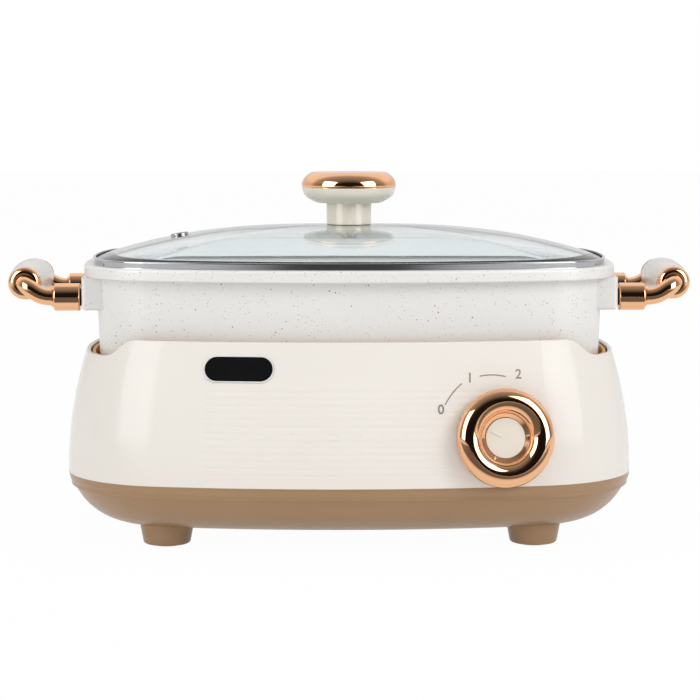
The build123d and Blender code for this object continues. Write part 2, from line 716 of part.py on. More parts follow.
spring_bottom = SLEEVE_BOTTOM_Z + SLEEVE_WALL + SPRING_WIRE_R + SLIDE_GAP
spring_height = SENSOR_TOP_Z - SLEEVE_WALL - SPRING_WIRE_R - SLIDE_GAP - spring_bottom
spring_r = SENSOR_R - SLEEVE_WALL - 2 * SPRING_WIRE_R
with BuildPart() as sensor_spring:
    with BuildLine(pan_middle.offset(spring_bottom)) as coil:
        Helix(spring_height / SPRING_COILS, spring_height, spring_r)
    with BuildSketch(Plane(origin=coil.line @ 0, z_dir=coil.line % 0)):
        Circle(SPRING_WIRE_R)
    sweep(path=coil.line, is_frenet=True)
save(sensor_spring.part, "sensor_spring")

# ================================================================ thermostat
bracket_back = dial_plane.offset(-BRACKET_STANDOFF - BRACKET_THICK)

with BuildPart() as thermostat_bracket:
    with BuildSketch(bracket_back):
        RectangleRounded(2 * BRACKET_HALF_W, 2 * BRACKET_HALF_HEIGHT, BRACKET_HALF_W / 4)
        Circle(SPINDLE_R + 1, mode=Mode.SUBTRACT)
        with GridLocations(1, 2 * BRACKET_SCREW_REACH, 1, 2):
            Circle(SCREW_R + SLIDE_GAP, mode=Mode.SUBTRACT)
    extrude(amount=BRACKET_THICK)
save(thermostat_bracket.part, "thermostat_bracket")

with BuildPart() as thermostat:
    with BuildSketch(bracket_back):
        RectangleRounded(2 * THERMOSTAT_HALF, 2 * THERMOSTAT_HALF, THERMOSTAT_HALF / 5)
    extrude(amount=-THERMOSTAT_DEPTH)
    with BuildSketch(bracket_back):
        Circle(SPINDLE_R + SPINDLE_CLEARANCE)
    extrude(amount=-SPINDLE_GRIP - 1, mode=Mode.SUBTRACT)
save(thermostat.part, "thermostat")

bracket_screws = []
for reach in (-BRACKET_SCREW_REACH, BRACKET_SCREW_REACH):
    screw_origin = bracket_back.from_local_coords((0, reach, 0))
    screw_plane = Plane(origin=screw_origin, x_dir=bracket_back.x_dir, z_dir=-bracket_back.z_dir)
    bracket_screws.append(screw(screw_plane, BRACKET_THICK + SCREW_HEAD_R))
save(Compound(bracket_screws), "bracket_screws")

# ================================================================ dial
RING_BASE = DIAL_GAP + SKIRT_HEIGHT
FACE_BASE = RING_BASE - DIAL_FACE_SINK
FACE_TOP = FACE_BASE + DIAL_FACE_THICK

with BuildPart() as dial_skirt:
    with BuildSketch(dial_plane.offset(DIAL_GAP)):
        Circle(SKIRT_R)
        with PolarLocations(SKIRT_R, KNURL_COUNT):
            Circle(KNURL_R, mode=Mode.SUBTRACT)
    extrude(amount=SKIRT_HEIGHT)
    with BuildSketch(dial_plane.offset(DIAL_GAP)):
        Circle(SKIRT_R - SKIRT_WALL)
        Circle(HUB_R, mode=Mode.SUBTRACT)
    extrude(amount=SKIRT_HEIGHT - SKIRT_WEB, mode=Mode.SUBTRACT)
    with BuildSketch(dial_plane.offset(FACE_BASE)):
        Circle(DIAL_FACE_R + SLIDE_GAP)
    extrude(amount=DIAL_FACE_SINK, mode=Mode.SUBTRACT)
    with BuildSketch(dial_plane.offset(DIAL_GAP)):
        Circle(SPINDLE_R + SLIDE_GAP)
    extrude(amount=SKIRT_HEIGHT - SKIRT_WEB, mode=Mode.SUBTRACT)
save(dial_skirt.part, "dial_skirt")

with BuildPart() as dial_ring:
    with BuildSketch(axial_plane(dial_plane)):
        with BuildLine():
            crown_start = (DIAL_R, RING_BASE + RING_SIDE)
            crown_end = (DIAL_OPENING_R, RING_BASE + RING_SIDE)
            crown_r = (DIAL_R - DIAL_OPENING_R) / 2
            Line((DIAL_R, RING_BASE), crown_start)
            ThreePointArc(crown_start, (DIAL_OPENING_R + crown_r, RING_BASE + RING_RISE), crown_end)
            Line(crown_end, (DIAL_FACE_R + SEAT_GAP, RING_BASE))
            Line((DIAL_FACE_R + SEAT_GAP, RING_BASE), (DIAL_R, RING_BASE))
        make_face()
    turn_about(dial_plane)
save(dial_ring.part, "dial_ring")

with BuildPart() as dial_face:
    with BuildSketch(dial_plane.offset(FACE_BASE)):
        Circle(DIAL_FACE_R)
    extrude(amount=DIAL_FACE_THICK)
    fillet(dial_face.edges().sort_by(Axis(dial_plane.origin, dial_plane.z_dir))[-1], SEAT_GAP)
save(dial_face.part, "dial_face")

with BuildPart() as dial_pointer:
    with BuildSketch(dial_plane.offset(FACE_TOP)):
        with PolarLocations(
            POINTER_INNER + POINTER_LENGTH / 2, 1, start_angle=POINTER_ANGLE
        ):
            RectangleRounded(POINTER_LENGTH, POINTER_WIDTH, POINTER_WIDTH / 3)
    extrude(amount=POINTER_HEIGHT)
save(dial_pointer.part, "dial_pointer")

with BuildPart() as dial_spindle:
    spindle_end = bracket_back.offset(-SPINDLE_GRIP)
    with BuildSketch(spindle_end):
        Circle(SPINDLE_R)
    extrude(
        amount=SPINDLE_GRIP + BRACKET_THICK + BRACKET_STANDOFF + DIAL_GAP + SKIRT_HEIGHT - SKIRT_WEB
    )
save(dial_spindle.part, "dial_spindle")

# ================================================================ window
with BuildPart() as window_bezel:
    lip_length = WINDOW_LENGTH + 2 * WINDOW_LIP
    lip_height = WINDOW_HEIGHT + 2 * WINDOW_LIP
    with BuildSketch(window_plane.offset(-WINDOW_DEPTH)):
        SlotOverall(lip_length, lip_height)
    extrude(amount=WINDOW_DEPTH + WINDOW_PROUD)
    with BuildSketch(window_plane.offset(-WINDOW_DEPTH)):
        SlotOverall(lip_length + 2 * WINDOW_FLANGE, lip_height + 2 * WINDOW_FLANGE)
    extrude(amount=BOARD_THICK)
    with BuildSketch(window_plane.offset(-WINDOW_DEPTH)):
        SlotOverall(WINDOW_LENGTH + 2 * SLIDE_GAP, WINDOW_HEIGHT + 2 * SLIDE_GAP)
    extrude(amount=WINDOW_DEPTH + 2 * WINDOW_PROUD, mode=Mode.SUBTRACT)
save(window_bezel.part, "window_bezel")

with BuildPart() as window_lens:
    with BuildSketch(window_plane.offset(LENS_PROUD - LENS_THICK)):
        SlotOverall(WINDOW_LENGTH, WINDOW_HEIGHT)
    extrude(amount=LENS_THICK)
save(window_lens.part, "window_lens")

with BuildPart() as lamp_board:
    with BuildSketch(window_plane.offset(-BOARD_DEPTH)):
        SlotOverall(WINDOW_LENGTH - 1, WINDOW_HEIGHT - 1)
    extrude(amount=BOARD_THICK)
    with BuildSketch(window_plane.offset(BOARD_THICK - BOARD_DEPTH)):
        with GridLocations(WINDOW_LENGTH / 3, 1, 3, 1):
            Circle(LAMP_R)
    extrude(amount=BOARD_DEPTH - BOARD_THICK + LENS_PROUD - LENS_THICK - SEAT_GAP)
save(lamp_board.part, "lamp_board")

# ================================================================ mains inlet
with BuildPart() as inlet_socket:
    with BuildSketch(inlet_plane.offset(-2 / 3 * HOUSING_WALL)):
        RectangleRounded(
            2 * (INLET_SCREW_X + SCREW_HEAD_R + 2), INLET_HEIGHT + 2 * INLET_FLANGE, INLET_FLANGE
        )
        with GridLocations(2 * INLET_SCREW_X, 1, 2, 1):
            Circle(SCREW_R + SLIDE_GAP, mode=Mode.SUBTRACT)
    extrude(amount=2 / 3 * HOUSING_WALL + INLET_PROUD)
    add(housing.part, mode=Mode.SUBTRACT)
    with BuildSketch(inlet_plane.offset(-INLET_DEPTH)):
        Rectangle(INLET_WIDTH, INLET_HEIGHT)
    extrude(amount=INLET_DEPTH + INLET_PROUD)
    with BuildSketch(inlet_plane.offset(INLET_WALL - INLET_DEPTH)):
        Rectangle(INLET_WIDTH - 2 * INLET_WALL, INLET_HEIGHT - 2 * INLET_WALL)
    extrude(amount=INLET_DEPTH + INLET_PROUD, mode=Mode.SUBTRACT)
    with BuildSketch(inlet_plane.offset(-INLET_DEPTH)):
        with GridLocations(INLET_PIN_PITCH, 1, 3, 1):
            Circle(INLET_PIN_R + SLIDE_GAP)
    extrude(amount=INLET_WALL, mode=Mode.SUBTRACT)
save(inlet_socket.part, "inlet_socket")

with BuildPart() as inlet_pins:
    with BuildSketch(inlet_plane.offset(-INLET_DEPTH - INLET_PIN_TAIL)):
        with GridLocations(INLET_PIN_PITCH, 1, 3, 1):
            Circle(INLET_PIN_R)
    extrude(amount=INLET_PIN_TAIL + INLET_DEPTH - INLET_WALL)
save(inlet_pins.part, "inlet_pins")

with BuildPart() as inlet_plate:
    with BuildSketch(inlet_plane.offset(-HOUSING_WALL - INLET_PLATE_THICK)):
        Rectangle(2 * (INLET_SCREW_X + INLET_PLATE_MARGIN), INLET_HEIGHT + INLET_PLATE_MARGIN)
        Rectangle(
            INLET_WIDTH + 2 * SLIDE_GAP, INLET_HEIGHT + 2 * SLIDE_GAP, mode=Mode.SUBTRACT
        )
        with GridLocations(2 * INLET_SCREW_X, 1, 2, 1):
            Circle(SCREW_R + SLIDE_GAP, mode=Mode.SUBTRACT)
    extrude(amount=INLET_PLATE_THICK + HOUSING_WALL / 3)
    add(housing.part, mode=Mode.SUBTRACT)
save(inlet_plate.part, "inlet_plate")

inlet_screws = []
for screw_x in (-INLET_SCREW_X, INLET_SCREW_X):
    screw_origin = inlet_plane.from_local_coords((screw_x, 0, INLET_PROUD))
    screw_plane = Plane(origin=screw_origin, x_dir=inlet_plane.x_dir, z_dir=inlet_plane.z_dir)
    inlet_screws.append(screw(screw_plane, INLET_PROUD + HOUSING_WALL + 2 * INLET_PLATE_THICK))
save(Compound(inlet_screws), "inlet_screws")

# ================================================================ lead wires
def wire(points, bend_radii):
    """Round insulated wire along straight runs with rounded turns."""
    with BuildPart(mode=Mode.PRIVATE) as piece:
        with BuildLine() as run:
            FilletPolyline(*points, radius=bend_radii)
        with BuildSketch(Plane(origin=run.line @ 0, z_dir=run.line % 0)):
            Circle(WIRE_R)
        sweep(path=run.line)
    return piece.part


def pin_point(x, depth):
    """A point straight in from an inlet pin's inner end."""
    return inlet_plane.from_local_coords((-x, 0, -INLET_DEPTH - INLET_PIN_TAIL - depth))


def thermostat_point(x, depth):
    """A point straight in from the thermostat's back."""
    return bracket_back.from_local_coords((x, 0, -THERMOSTAT_DEPTH - depth))


blade_z = ELEMENT_END_Z - TERMINAL_LENGTH - BLADE_LENGTH
wires = [
    wire(
        (
            pin_point(-INLET_PIN_PITCH, 0),
            pin_point(-INLET_PIN_PITCH, WIRE_RUN),
            (-ELEMENT_GAP_X, element_y, blade_z - WIRE_RUN),
            (-ELEMENT_GAP_X, element_y, blade_z),
        ),
        WIRE_BEND_R / 2,
    ),
    wire(
        (
            (ELEMENT_GAP_X, element_y, blade_z),
            (ELEMENT_GAP_X, element_y, blade_z - WIRE_RUN),
            thermostat_point(-THERMOSTAT_HALF / 2, WIRE_RUN),
            thermostat_point(-THERMOSTAT_HALF / 2, 0),
        ),
        WIRE_BEND_R,
    ),
    wire(
        (
            pin_point(INLET_PIN_PITCH, 0),
            pin_point(INLET_PIN_PITCH, WIRE_RUN),
            (DIAL_X + WIRE_RUN, POT_Y, blade_z - WIRE_RUN),
            thermostat_point(THERMOSTAT_HALF / 2, WIRE_RUN),
            thermostat_point(THERMOSTAT_HALF / 2, 0),
        ),
        WIRE_BEND_R,
    ),
]
save(Compound(wires), "lead_wires")

# ================================================================ pan
with BuildPart() as pan:
    # two solid lugs that carry the handles, trimmed to end inside the pan's wall
    with BuildSketch(Plane.XY.offset(LUG_BOTTOM_Z)):
        with Locations((0, POT_Y)):
            RectangleRounded(2 * LUG_OUT_X, 2 * LUG_HALF_LENGTH, LUG_EDGE_R)
            Rectangle(2 * (LUG_OUT_X - PAN_RUN), 2 * LUG_HALF_LENGTH, mode=Mode.SUBTRACT)
    extrude(amount=RIM_UNDER_Z - LUG_BOTTOM_Z)
    outer_faces = pan.faces().filter_by(Axis.X).group_by(SortBy.DISTANCE)[-1]
    fillet([face.edges().sort_by(Axis.Z)[0] for face in outer_faces], LUG_EDGE_R)
    with BuildSketch(cross_section(RIM)):
        with Locations((-RIM_OVERHANG - PAN_WALL / 2, PAN_BOTTOM_Z)):
            Rectangle(PAN_RUN, RIM_TOP_Z - PAN_BOTTOM_Z, align=(Align.MAX, Align.MIN))
    sweep(path=plan_line(RIM), mode=Mode.SUBTRACT)
    # rolled rim, drawn wall and the turn into the floor
    floor_top_z = PAN_BOTTOM_Z + PAN_FLOOR_WALL
    foot_x = -RIM_OVERHANG - PAN_TAPER
    floor_x = -RIM_OVERHANG - PAN_RUN
    with BuildSketch(cross_section(RIM)) as pan_section:
        Polygon(
            (0, RIM_TOP_Z),
            (0, RIM_UNDER_Z),
            (-RIM_OVERHANG, RIM_UNDER_Z),
            (foot_x, PAN_BOTTOM_Z),
            (floor_x, PAN_BOTTOM_Z),
            (floor_x, floor_top_z),
            (foot_x - PAN_WALL, floor_top_z),
            (-RIM_OVERHANG - PAN_WALL, RIM_TOP_Z),
            align=None,
        )
        fillet(corner(pan_section, foot_x, PAN_BOTTOM_Z), PAN_BEND_R)
        fillet(corner(pan_section, foot_x - PAN_WALL, floor_top_z), PAN_BEND_R - PAN_FLOOR_WALL)
        fillet(corner(pan_section, 0, RIM_TOP_Z), RIM_EDGE_R)
        fillet(corner(pan_section, 0, RIM_UNDER_Z), RIM_EDGE_R / 2)
    sweep(path=plan_line(RIM))
    plate(RIM, PAN_BOTTOM_Z, PAN_FLOOR_WALL, RIM_OVERHANG + PAN_RUN)
    # blind holes for the handle studs
    with BuildSketch(Plane.YZ.offset(-LUG_OUT_X)):
        with Locations((POT_Y - ARM_Y, ARM_Z), (POT_Y + ARM_Y, ARM_Z)):
            Circle(STUD_R + SLIDE_GAP)
    extrude(amount=STUD_GRIP + SEAT_GAP, mode=Mode.SUBTRACT)
    with BuildSketch(Plane.YZ.offset(LUG_OUT_X)):
        with Locations((POT_Y - ARM_Y, ARM_Z), (POT_Y + ARM_Y, ARM_Z)):
            Circle(STUD_R + SLIDE_GAP)
    extrude(amount=-STUD_GRIP - SEAT_GAP, mode=Mode.SUBTRACT)
save(pan.part, "pan")

# ================================================================ handles
gaskets = []
studs = []
for end, side_x in (("left", -1), ("right", 1)):
    for row, side_y in (("front", -1), ("back", 1)):
        arm_y = POT_Y + side_y * ARM_Y
        arm_plane = Plane(
            origin=(side_x * LUG_OUT_X, arm_y, ARM_Z), x_dir=(0, 1, 0), z_dir=(side_x, 0, 0)
        )
        collar_plane = arm_plane.offset(GASKET_THICK)
        with BuildPart() as gasket:
            with BuildSketch(arm_plane):
                Circle(GASKET_R)
                Circle(STUD_R + SLIDE_GAP, mode=Mode.SUBTRACT)
            extrude(amount=GASKET_THICK)
        gaskets.append(gasket.part)
        with BuildPart() as stud:
            with BuildSketch(arm_plane.offset(-STUD_GRIP)):
                Circle(STUD_R)
            extrude(amount=2 * STUD_GRIP + GASKET_THICK)
        studs.append(stud.part)
        with BuildPart() as collar:
            with BuildSketch(collar_plane):
                Circle(COLLAR_R)
            extrude(amount=COLLAR_LENGTH)
            fillet(collar.edges(), COLLAR_EDGE_R)
            with BuildSketch(collar_plane):
                Circle(STUD_R + SLIDE_GAP)
            extrude(amount=STUD_GRIP + SEAT_GAP, mode=Mode.SUBTRACT)
        save(collar.part, f"collar_{row}_{end}")
        grip_end_y = POT_Y + side_y * GRIP_HALF_LENGTH
        cup_plane = Plane(
            origin=(side_x * GRIP_X, grip_end_y, GRIP_Z), x_dir=(side_x, 0, 0), z_dir=(0, side_y, 0)
        )
        with BuildPart() as elbow:
            with BuildLine() as elbow_line:
                FilletPolyline(
                    (side_x * ARM_X, arm_y, ARM_Z),
                    (side_x * (ARM_X + TUBE_STRAIGHT), arm_y, ARM_Z),
                    (side_x * GRIP_X, arm_y, GRIP_Z),
                    (side_x * GRIP_X, grip_end_y + side_y * CUP_LIP, GRIP_Z),
                    radius=[TUBE_BEND_R, TUBE_TURN_R],
                )
            with BuildSketch(collar_plane.offset(COLLAR_LENGTH)):
                Circle(TUBE_R)
            sweep(path=elbow_line.line)
            with BuildSketch(collar_plane.offset(COLLAR_LENGTH)):
                Circle(BEAD_R)
            extrude(amount=BEAD_WIDTH)
            with BuildSketch(axial_plane(cup_plane)):
                with BuildLine():
                    dome_start = (CUP_R, CUP_LIP)
                    dome_end = (TUBE_R, CUP_DEPTH)
                    Polyline(dome_end, (0, CUP_DEPTH), (0, 0), (CUP_R, 0), dome_start)
                    ThreePointArc(
                        dome_start,
                        ((CUP_R + TUBE_R) / 2 + 1, (CUP_LIP + CUP_DEPTH) / 2 + 1),
                        dome_end,
                    )
                make_face()
            turn_about(cup_plane)
            with BuildSketch(cup_plane):
                Circle(ROD_R + SLIDE_GAP)
            extrude(amount=ROD_GRIP, mode=Mode.SUBTRACT)
        save(elbow.part, f"elbow_{row}_{end}")
    grip_plane = Plane(
        origin=(side_x * GRIP_X, POT_Y, GRIP_Z), x_dir=(side_x, 0, 0), z_dir=(0, 1, 0)
    )
    with BuildPart() as grip:
        with BuildSketch(axial_plane(grip_plane)):
            with BuildLine():
                front_end = (GRIP_END_R, -GRIP_HALF_LENGTH)
                back_end = (GRIP_END_R, GRIP_HALF_LENGTH)
                ThreePointArc(front_end, (GRIP_MID_R, 0), back_end)
                bore = ROD_R + SLIDE_GAP
                Polyline(back_end, (bore, GRIP_HALF_LENGTH), (bore, -GRIP_HALF_LENGTH), front_end)
            make_face()
        turn_about(grip_plane)
    save(grip.part, f"grip_{end}")
    with BuildPart() as tie_rod:
        with BuildSketch(grip_plane):
            Circle(ROD_R)
        extrude(amount=GRIP_HALF_LENGTH + ROD_GRIP - SEAT_GAP, both=True)
    save(tie_rod.part, f"tie_rod_{end}")
save(Compound(gaskets), "handle_gaskets")
save(Compound(studs), "handle_studs")

# ================================================================ lid
GLASS_BASE_Z = RIM_TOP_Z + LID_RIM_SHEET
GLASS_EDGE_Z = GLASS_BASE_Z + GLASS_EDGE_WALL


def glass_z(spread):
    """Height of the glass's upper face, by how far out it lies: 0 in the middle, 1 at the edge."""
    return GLASS_EDGE_Z + GLASS_RISE * (1 - spread**GLASS_POWER)


def dome(drop):
    """Solid bounded by the glass's upper face, lowered."""
    with BuildPart(mode=Mode.PRIVATE) as piece:
        edge = plan_face(RIM, GLASS_BASE_Z - drop, LID_INSET + GLASS_INSET)
        extrude(edge, amount=GLASS_EDGE_WALL, dir=(0, 0, 1))
        loft([
            plan_face(RIM, glass_z(spread) - drop, LID_INSET + GLASS_INSET, spread)
            for spread in GLASS_STEPS
        ], ruled=True)
    return piece.part


with BuildPart() as lid_rim:
    with BuildSketch(cross_section(RIM)) as rim_section:
        with Locations((-LID_INSET, RIM_TOP_Z)):
            Rectangle(LID_RIM_SHEET, LID_RIM_HEIGHT, align=(Align.MAX, Align.MIN))
            Rectangle(LID_RIM_REACH, LID_RIM_SHEET, align=(Align.MAX, Align.MIN))
        with Locations((-LID_INSET, RIM_TOP_Z + LID_RIM_HEIGHT)):
            Rectangle(LID_RIM_LAP, LID_RIM_SHEET, align=(Align.MAX, Align.MAX))
        fillet(corner(rim_section, -LID_INSET, RIM_TOP_Z + LID_RIM_HEIGHT), LID_RIM_SHEET)
    sweep(path=plan_line(RIM))
save(lid_rim.part, "lid_rim")

GLASS_TOP_Z = glass_z(GLASS_STEPS[-1])
vent_spread = -VENT_X / (RIM.half_w - LID_INSET - GLASS_INSET)
vent_slope = GLASS_RISE * GLASS_POWER * vent_spread**GLASS_POWER / -VENT_X
vent_plane = Plane(
    origin=(VENT_X, POT_Y, glass_z(vent_spread)), x_dir=(0, 1, 0), z_dir=(-vent_slope, 0, 1)
)

with BuildPart() as lid_glass:
    add(dome(0))
    add(dome(GLASS_THICK), mode=Mode.SUBTRACT)
    with BuildSketch(vent_plane.offset(-2 * GLASS_THICK)):
        Circle(VENT_HOLE_R)
    extrude(amount=4 * GLASS_THICK, mode=Mode.SUBTRACT)
    with BuildSketch(pan_middle.offset(GLASS_TOP_Z - 2 * GLASS_THICK)):
        Circle(KNOB_SCREW_R + KNOB_HOLE_CLEARANCE)
    extrude(amount=4 * GLASS_THICK, mode=Mode.SUBTRACT)
save(lid_glass.part, "lid_glass")

with BuildPart() as steam_vent:
    with BuildSketch(vent_plane.offset(SLIDE_GAP)):
        Circle(VENT_FLANGE_R)
    extrude(amount=VENT_FLANGE_THICK)
    fillet(steam_vent.edges().sort_by(Axis(vent_plane.origin, vent_plane.z_dir))[-1], VENT_EDGE_R)
    with BuildSketch(vent_plane.offset(SLIDE_GAP)):
        Circle(VENT_HOLE_R - SLIDE_GAP)
    extrude(amount=-GLASS_THICK - VENT_FLANGE_THICK)
    with BuildSketch(vent_plane.offset(VENT_FLANGE_THICK + 2 * SLIDE_GAP)):
        Circle(VENT_BORE_R)
    extrude(amount=-GLASS_THICK - 3 * VENT_FLANGE_THICK, mode=Mode.SUBTRACT)
save(steam_vent.part, "steam_vent")

# ================================================================ lid knob
STEM_BOTTOM_Z = GLASS_TOP_Z + KNOB_SEAL_THICK
DISH_BOTTOM_Z = STEM_BOTTOM_Z + STEM_HEIGHT
KNOB_SEAM_Z = DISH_BOTTOM_Z + DISH_HEIGHT
KNOB_TOP_Z = KNOB_SEAM_Z + CAP_HEIGHT
KNOB_SCREW_REACH = STEM_HEIGHT - KNOB_SCREW_STOP
GLASS_UNDER_Z = GLASS_TOP_Z - GLASS_THICK

with BuildPart() as knob_seal:
    with BuildSketch(pan_middle.offset(GLASS_TOP_Z)):
        Circle(KNOB_SEAL_R)
        Circle(KNOB_SCREW_R + SLIDE_GAP, mode=Mode.SUBTRACT)
    extrude(amount=KNOB_SEAL_THICK)
save(knob_seal.part, "knob_seal")

with BuildPart() as knob_body:
    with BuildSketch(axial_plane(pan_middle)):
        with BuildLine():
            Spline(
                (DISH_FOOT_R, DISH_BOTTOM_Z),
                *((KNOB_R - inward, KNOB_SEAM_Z - share * DISH_HEIGHT) for inward, share in DISH_STEPS),
                (KNOB_R, KNOB_SEAM_Z),
            )
            Polyline(
                (KNOB_R, KNOB_SEAM_Z),
                (0, KNOB_SEAM_Z),
                (0, STEM_BOTTOM_Z),
                (STEM_R, STEM_BOTTOM_Z),
                (STEM_R, DISH_BOTTOM_Z),
                (DISH_FOOT_R, DISH_BOTTOM_Z),
            )
        make_face()
    turn_about(pan_middle)
    with BuildSketch(pan_middle.offset(STEM_BOTTOM_Z)):
        Circle(KNOB_SCREW_R + SLIDE_GAP)
    extrude(amount=KNOB_SCREW_REACH + SEAT_GAP, mode=Mode.SUBTRACT)
save(knob_body.part, "knob_body")

with BuildPart() as knob_cap:
    with BuildSketch(axial_plane(pan_middle)):
        with BuildLine():
            Spline(
                (KNOB_R, KNOB_SEAM_Z),
                *((KNOB_R - inward, KNOB_SEAM_Z + share * CAP_HEIGHT) for inward, share in CAP_STEPS),
                (CAP_FLAT_R, KNOB_TOP_Z),
            )
            Polyline(
                (CAP_FLAT_R, KNOB_TOP_Z), (0, KNOB_TOP_Z), (0, KNOB_SEAM_Z), (KNOB_R, KNOB_SEAM_Z)
            )
        make_face()
    turn_about(pan_middle)
save(knob_cap.part, "knob_cap")

with BuildPart() as knob_washer:
    with BuildSketch(pan_middle.offset(GLASS_UNDER_Z)):
        Circle(KNOB_WASHER_R)
        Circle(KNOB_SCREW_R + SLIDE_GAP, mode=Mode.SUBTRACT)
    extrude(amount=-KNOB_WASHER_THICK)
save(knob_washer.part, "knob_washer")

with BuildPart() as knob_screw:
    with BuildSketch(pan_middle.offset(GLASS_UNDER_Z - KNOB_WASHER_THICK)):
        Circle(2 * KNOB_SCREW_R)
    extrude(amount=-KNOB_SCREW_R)
    fillet(knob_screw.edges().sort_by(Axis.Z)[0], KNOB_SCREW_R / 2)
    with BuildSketch(pan_middle.offset(GLASS_UNDER_Z - KNOB_WASHER_THICK)):
        Circle(KNOB_SCREW_R)
    extrude(amount=KNOB_WASHER_THICK + GLASS_THICK + KNOB_SEAL_THICK + KNOB_SCREW_REACH)
save(knob_screw.part, "knob_screw")
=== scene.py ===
from math import atan2, cos, hypot, pi, radians, sin, sqrt

import bmesh
import bpy
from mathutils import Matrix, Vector


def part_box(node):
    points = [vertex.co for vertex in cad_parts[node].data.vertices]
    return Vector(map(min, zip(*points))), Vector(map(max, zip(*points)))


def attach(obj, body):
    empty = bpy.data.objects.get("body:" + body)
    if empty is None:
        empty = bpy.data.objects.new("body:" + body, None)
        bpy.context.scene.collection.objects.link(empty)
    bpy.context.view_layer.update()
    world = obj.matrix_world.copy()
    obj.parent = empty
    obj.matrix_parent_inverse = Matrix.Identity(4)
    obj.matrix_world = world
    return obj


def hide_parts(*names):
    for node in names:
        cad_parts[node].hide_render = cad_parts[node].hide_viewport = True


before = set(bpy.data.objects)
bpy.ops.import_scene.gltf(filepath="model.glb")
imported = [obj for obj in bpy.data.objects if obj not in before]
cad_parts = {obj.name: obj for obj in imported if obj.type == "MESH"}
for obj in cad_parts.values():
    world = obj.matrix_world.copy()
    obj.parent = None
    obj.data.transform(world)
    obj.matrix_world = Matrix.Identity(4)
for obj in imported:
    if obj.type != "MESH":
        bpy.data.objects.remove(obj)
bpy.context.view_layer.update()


# ---- base shell and feet
# The lower shell and its four feet are one brown plastic, moulded with a soft satin skin.
# The shell is screwed up to the inner liner, and each foot stands on a rubber pad.
class Signal:
    """One value or colour travelling through a finish, so that sums read as sums."""

    def __init__(self, finish, socket):
        self.finish = finish
        self.socket = socket

    def sum_with(self, operation, first, second):
        return self.finish.node("ShaderNodeMath", {"operation": operation}, {0: first, 1: second})

    def __add__(self, other):
        return self.sum_with("ADD", self, other)

    def __sub__(self, other):
        return self.sum_with("SUBTRACT", self, other)

    def __rsub__(self, other):
        return self.sum_with("SUBTRACT", other, self)

    def __mul__(self, other):
        return self.sum_with("MULTIPLY", self, other)

    def __gt__(self, other):
        return self.sum_with("GREATER_THAN", self, other)

    def __lt__(self, other):
        return self.sum_with("LESS_THAN", self, other)

    __radd__ = __add__
    __rmul__ = __mul__


class Finish:
    """The surface of one material: a Principled shader with plain sockets set, then patterns."""

    def __init__(self, name, **plain):
        self.material = bpy.data.materials.new(name)
        self.material.use_nodes = True
        self.tree = self.material.node_tree
        self.skin = self.tree.nodes["Principled BSDF"]
        for socket, value in plain.items():
            self.skin.inputs[socket.replace("_", " ")].default_value = value
        self.place = self.node("ShaderNodeTexCoord", out="Object")

    def node(self, kind, settings=None, sockets=None, out=0):
        """Add one node: its settings first, then the values or signals of its sockets."""
        made = self.tree.nodes.new(kind)
        for key, value in (settings or {}).items():
            if key == "stops":
                ramp = made.color_ramp
                for stop, (position, colour) in enumerate(value):
                    element = ramp.elements[stop] if stop < 2 else ramp.elements.new(position)
                    element.position = position
                    element.color = colour
            else:
                setattr(made, key, value)
        for key, value in (sockets or {}).items():
            if isinstance(value, Signal):
                self.tree.links.new(value.socket, made.inputs[key])
            else:
                made.inputs[key].default_value = value
        return Signal(self, made.outputs[out])

    def noise(self, scale, detail=2.0):
        """A soft cloudy pattern; a larger scale makes finer clouds."""
        sockets = {"Vector": self.place, "Scale": scale, "Detail": detail}
        return self.node("ShaderNodeTexNoise", {}, sockets)

    def between(self, mask, low, high):
        """Blend two colours by a mask."""
        return self.node(
            "ShaderNodeMix", {"data_type": "RGBA"}, {"Factor": mask, 6: low, 7: high}, out=2
        )

    def colours(self, scale, low, high):
        """Let the base colour drift between two tints in a noise pattern."""
        self.feed("Base Color", self.between(self.noise(scale), low, high))

    def feed(self, socket, signal):
        """Drive a socket of the Principled shader by a pattern."""
        self.tree.links.new(signal.socket, self.skin.inputs[socket])

    def wear(self, surface):
        """Let another shader take the Principled shader's place on the surface."""
        self.tree.links.new(surface.socket, self.tree.nodes["Material Output"].inputs["Surface"])

    def relief(self, height, depth):
        """Raise the surface by a pattern, with the depth in metres."""
        sockets = {"Height": height, "Distance": depth, "Strength": 1.0}
        self.feed("Normal", self.node("ShaderNodeBump", {}, sockets))

    def on(self, *names):
        """Give this finish to CAD nodes."""
        for name in names:
            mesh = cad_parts[name].data
            mesh.materials.clear()
            mesh.materials.append(self.material)
            for face in mesh.polygons:
                face.material_index = 0
        return self


def tint(red, green, blue):
    """A colour given in screen values, 0 to 255, as light values."""
    light = []
    for screen in (red, green, blue):
        share = screen / 255
        light.append(share / 12.92 if share <= 0.04045 else ((share + 0.055) / 1.055) ** 2.4)
    return (*light, 1.0)


FEET = [f"foot_{row}_{end}" for row in ("front", "back") for end in ("left", "right")]
brown_shell = Finish("brown_shell", Roughness=0.3, Coat_Weight=0.15, Coat_Roughness=0.2)
brown_shell.colours(14.0, tint(161, 127, 90), tint(170, 136, 100))
brown_shell.feed("Roughness", brown_shell.noise(260.0) * 0.10 + 0.26)
brown_shell.relief(brown_shell.noise(1400.0, 3.0), 0.00004)
brown_shell.on("base_shell", *FEET)

pad_rubber = Finish("pad_rubber", Roughness=0.8)
pad_rubber.colours(60.0, tint(40, 37, 34), tint(58, 54, 50))
pad_rubber.relief(pad_rubber.noise(2200.0, 4.0), 0.00008)
pad_rubber.on("foot_pads")

